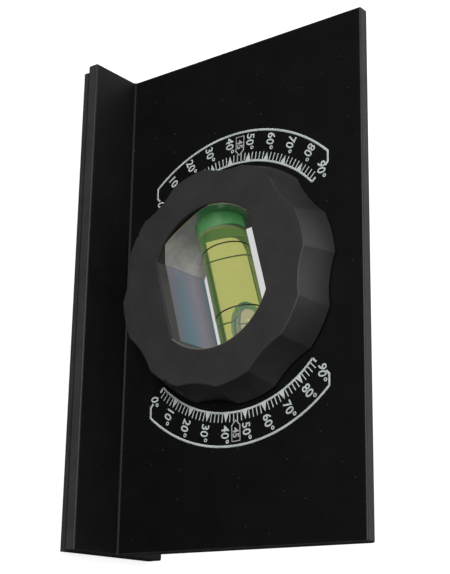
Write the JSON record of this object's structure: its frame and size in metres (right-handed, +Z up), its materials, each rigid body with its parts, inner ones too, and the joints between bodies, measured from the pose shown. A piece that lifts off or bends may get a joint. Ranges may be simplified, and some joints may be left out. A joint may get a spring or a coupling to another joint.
{
  "type": "angle setter",
  "caption": "Magnetic tee-shaped angle setter: a spirit vial in a fluted dial that turns between two printed degree scales.",
  "frame": {"origin": "middle of the underside of the magnetic base", "axes": "+X along the body, towards the vial's high end; +Z up from the base; -Y towards the reader of the scales"},
  "size_m": [0.1, 0.0252, 0.0606],
  "materials": {
    "body_black": "black anodised, fine matte",
    "magnet": "flexible magnetic strip, matte",
    "dial_black": "fine moulded texture",
    "screw_steel": "blackened",
    "spring_steel": "spring steel strip",
    "vial_clear": "clear polished",
    "vial_plug": "moulded",
    "fluid": "tinted fluid",
    "bubble": "air"
  },
  "bodies": {
    "base": {"body": "body_black", "magnet_strip": "magnet", "spring_washer": "spring_steel"},
    "dial": {"dial_knob": "dial_black", "dial_hub": "dial_black", "hub_screw_1": "screw_steel", "hub_screw_2": "screw_steel", "hub_screw_3": "screw_steel", "hub_screw_4": "screw_steel", "vial_tube": "vial_clear", "vial_plug": "vial_plug", "vial_fluid": "fluid"},
    "bubble": {"vial_bubble": "bubble"}
  },
  "joints": [
    {"name": "dial_turn", "type": "hinge", "parent": "base", "child": "dial", "pos_m": [0, -0.0007, 0.0312], "axis": [0, -1, 0], "continuous": true},
    {"name": "bubble_run", "type": "slide", "parent": "dial", "child": "bubble", "axis": [0.965, 0, 0.2622], "range_m": [-0.0147, 0], "stiffness_N_per_m": 0.15, "springref_m": 0.015}
  ]
}
